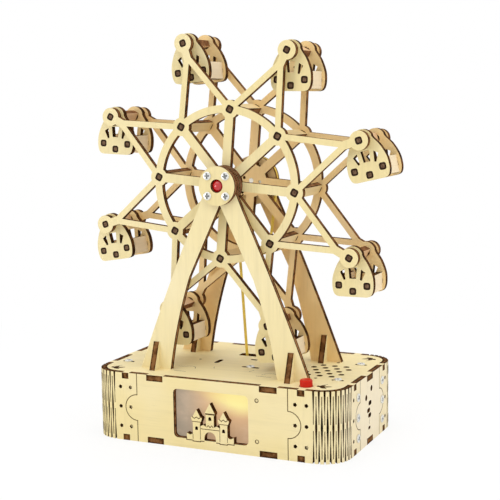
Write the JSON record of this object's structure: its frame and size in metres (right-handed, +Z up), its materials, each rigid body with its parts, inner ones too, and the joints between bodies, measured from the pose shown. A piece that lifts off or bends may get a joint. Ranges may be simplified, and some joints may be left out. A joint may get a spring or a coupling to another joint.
{
  "type": "crank ferris wheel toy",
  "caption": "Wooden desktop ferris wheel on a box base with a lit castle window: a rear hand crank turns the wheel by gears and a belt while the gondolas stay level.",
  "frame": {"origin": "centre of the base's underside, on the surface that it stands on", "axes": "+X to the right of the lit window as seen from the front, +Y to the rear (the crank's side), +Z up"},
  "size_m": [0.1561, 0.101, 0.1979],
  "materials": {
    "birch_ply": "satin",
    "turned_wood": "satin",
    "screw_steel": "polished",
    "shaft_steel": "satin",
    "frosted_plastic": "matte",
    "red_plastic": "gloss",
    "white_plastic": "gloss",
    "yellow_rubber": "satin",
    "black_plastic": "matte",
    "circuit_board": "gloss",
    "lamp_plastic": "gloss",
    "cell_steel": "satin"
  },
  "bodies": {
    "base": {"bottom_plate": "birch_ply", "top_plate": "birch_ply", "front_panel": "birch_ply", "rear_panel": "birch_ply", "left_panel": "birch_ply", "right_panel": "birch_ply", "corner_rear_right": "birch_ply", "corner_rear_left": "birch_ply", "corner_front_right": "birch_ply", "corner_front_left": "birch_ply", "seam_straps": "birch_ply", "case_screws": "screw_steel", "window_diffuser": "frosted_plastic", "castle_cutout": "birch_ply", "front_a_frame": "birch_ply", "rear_a_frame": "birch_ply", "leg_gussets": "birch_ply", "front_hub_cap": "birch_ply", "rear_hub_cap": "birch_ply", "hub_jewel": "red_plastic", "axle_bushings": "white_plastic", "drive_belt": "yellow_rubber", "gear_plates": "birch_ply", "button_switch": "black_plastic", "speaker": "black_plastic", "sound_board": "circuit_board", "window_lamp": "lamp_plastic", "battery_box": "black_plastic", "battery_cells": "cell_steel"},
    "wheel": {"front_wheel_frame": "birch_ply", "rear_wheel_frame": "birch_ply", "crossbars": "birch_ply", "gondola_axles": "birch_ply", "wheel_hub_disc": "birch_ply", "wheel_pulley": "birch_ply", "stub_axles": "shaft_steel"},
    "drive": {"drive_pinion": "white_plastic", "drive_shaft": "shaft_steel"},
    "crank": {"crank_gear": "white_plastic", "crank_shaft": "shaft_steel", "crank_arm": "birch_ply"},
    "knob": {"crank_knob": "turned_wood"},
    "button": {"push_button": "red_plastic"},
    "gondola_1": {"gondola_1_sides": "birch_ply", "gondola_1_boards": "birch_ply"},
    "gondola_2": {"gondola_2_sides": "birch_ply", "gondola_2_boards": "birch_ply"},
    "gondola_3": {"gondola_3_sides": "birch_ply", "gondola_3_boards": "birch_ply"},
    "gondola_4": {"gondola_4_sides": "birch_ply", "gondola_4_boards": "birch_ply"},
    "gondola_5": {"gondola_5_sides": "birch_ply", "gondola_5_boards": "birch_ply"},
    "gondola_6": {"gondola_6_sides": "birch_ply", "gondola_6_boards": "birch_ply"},
    "gondola_7": {"gondola_7_sides": "birch_ply", "gondola_7_boards": "birch_ply"},
    "gondola_8": {"gondola_8_sides": "birch_ply", "gondola_8_boards": "birch_ply"}
  },
  "joints": [
    {"name": "wheel_spin", "type": "hinge", "parent": "base", "child": "wheel", "pos_m": [0, 0, 0.1255], "axis": [0, 1, 0], "continuous": true},
    {"name": "drive_spin", "type": "hinge", "parent": "base", "child": "drive", "pos_m": [-0.0034, 0.0155, 0.025], "axis": [0, 1, 0], "continuous": true},
    {"name": "crank_spin", "type": "hinge", "parent": "base", "child": "crank", "pos_m": [0.00925, 0.0235, 0.019], "axis": [0, 1, 0], "continuous": true},
    {"name": "knob_spin", "type": "hinge", "parent": "crank", "child": "knob", "pos_m": [0.02225, 0.05, 0.019], "axis": [0, 1, 0], "continuous": true},
    {"name": "button_press", "type": "slide", "parent": "base", "child": "button", "axis": [0, 0, 1], "range_m": [-0.001, 0], "stiffness_N_per_m": 150, "springref_m": 0.0005},
    {"name": "gondola_1_swing", "type": "hinge", "parent": "wheel", "child": "gondola_1", "pos_m": [-0.02114, -0.0046, 0.19296], "axis": [0, 1, 0], "continuous": true},
    {"name": "gondola_2_swing", "type": "hinge", "parent": "wheel", "child": "gondola_2", "pos_m": [0.03275, -0.0046, 0.18815], "axis": [0, 1, 0], "continuous": true},
    {"name": "gondola_3_swing", "type": "hinge", "parent": "wheel", "child": "gondola_3", "pos_m": [0.06746, -0.0046, 0.14664], "axis": [0, 1, 0], "continuous": true},
    {"name": "gondola_4_swing", "type": "hinge", "parent": "wheel", "child": "gondola_4", "pos_m": [0.06266, -0.0046, 0.09274], "axis": [0, 1, 0], "continuous": true},
    {"name": "gondola_5_swing", "type": "hinge", "parent": "wheel", "child": "gondola_5", "pos_m": [0.02114, -0.0046, 0.05804], "axis": [0, 1, 0], "continuous": true},
    {"name": "gondola_6_swing", "type": "hinge", "parent": "wheel", "child": "gondola_6", "pos_m": [-0.03275, -0.0046, 0.06284], "axis": [0, 1, 0], "continuous": true},
    {"name": "gondola_7_swing", "type": "hinge", "parent": "wheel", "child": "gondola_7", "pos_m": [-0.06746, -0.0046, 0.10436], "axis": [0, 1, 0], "continuous": true},
    {"name": "gondola_8_swing", "type": "hinge", "parent": "wheel", "child": "gondola_8", "pos_m": [-0.06266, -0.0046, 0.15826], "axis": [0, 1, 0], "continuous": true}
  ],
  "couplings": [
    {"joint": "drive_spin", "follows": "wheel_spin", "ratio": 5.3636},
    {"joint": "crank_spin", "follows": "wheel_spin", "ratio": -1.7879},
    {"joint": "gondola_1_swing", "follows": "wheel_spin", "ratio": -1},
    {"joint": "gondola_2_swing", "follows": "wheel_spin", "ratio": -1},
    {"joint": "gondola_3_swing", "follows": "wheel_spin", "ratio": -1},
    {"joint": "gondola_4_swing", "follows": "wheel_spin", "ratio": -1},
    {"joint": "gondola_5_swing", "follows": "wheel_spin", "ratio": -1},
    {"joint": "gondola_6_swing", "follows": "wheel_spin", "ratio": -1},
    {"joint": "gondola_7_swing", "follows": "wheel_spin", "ratio": -1},
    {"joint": "gondola_8_swing", "follows": "wheel_spin", "ratio": -1}
  ]
}
